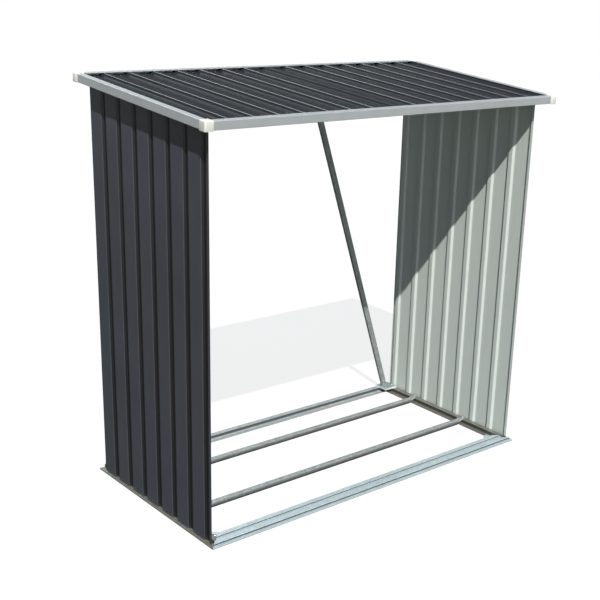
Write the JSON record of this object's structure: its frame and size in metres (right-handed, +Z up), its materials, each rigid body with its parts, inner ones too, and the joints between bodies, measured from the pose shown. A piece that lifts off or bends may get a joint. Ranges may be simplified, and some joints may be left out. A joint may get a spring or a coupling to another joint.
{
  "type": "open log store",
  "caption": "Open-fronted lean-to log store of profiled steel sheet on a folded floor frame, with ribbed side walls, a ribbed roof and rear braces.",
  "frame": {"origin": "on the ground, under the middle of the overall box", "axes": "+X to the right along the width, +Y to the rear (the open front looks along -Y), +Z up"},
  "size_m": [1.63, 0.8318, 1.5398],
  "materials": {
    "painted_sheet": "satin anthracite coil coating",
    "galvanised": "hot-dip galvanised, spangled, semi-matt",
    "trim": "light grey satin",
    "cap_plastic": "moulded, off white"
  },
  "bodies": {
    "root": {"front_floor_beam": "galvanised", "front_floor_rail": "galvanised", "front_roof_trim": "trim", "front_top_rail": "galvanised", "left_floor_rail": "galvanised", "left_front_cap": "cap_plastic", "left_front_corner_plate": "galvanised", "left_front_gusset": "galvanised", "left_rear_brace": "galvanised", "left_rear_cap": "cap_plastic", "left_rear_corner_plate": "galvanised", "left_rear_gusset": "galvanised", "left_roof_sheet": "painted_sheet", "left_roof_trim": "trim", "left_top_rail": "galvanised", "left_wall_sheet": "painted_sheet", "rear_floor_beam": "galvanised", "rear_floor_rail": "galvanised", "rear_roof_trim": "trim", "rear_top_rail": "galvanised", "right_floor_rail": "galvanised", "right_front_cap": "cap_plastic", "right_front_corner_plate": "galvanised", "right_front_gusset": "galvanised", "right_rear_brace": "galvanised", "right_rear_cap": "cap_plastic", "right_rear_corner_plate": "galvanised", "right_rear_gusset": "galvanised", "right_roof_sheet": "painted_sheet", "right_roof_trim": "trim", "right_top_rail": "galvanised", "right_wall_sheet": "painted_sheet"}
  },
  "joints": []
}
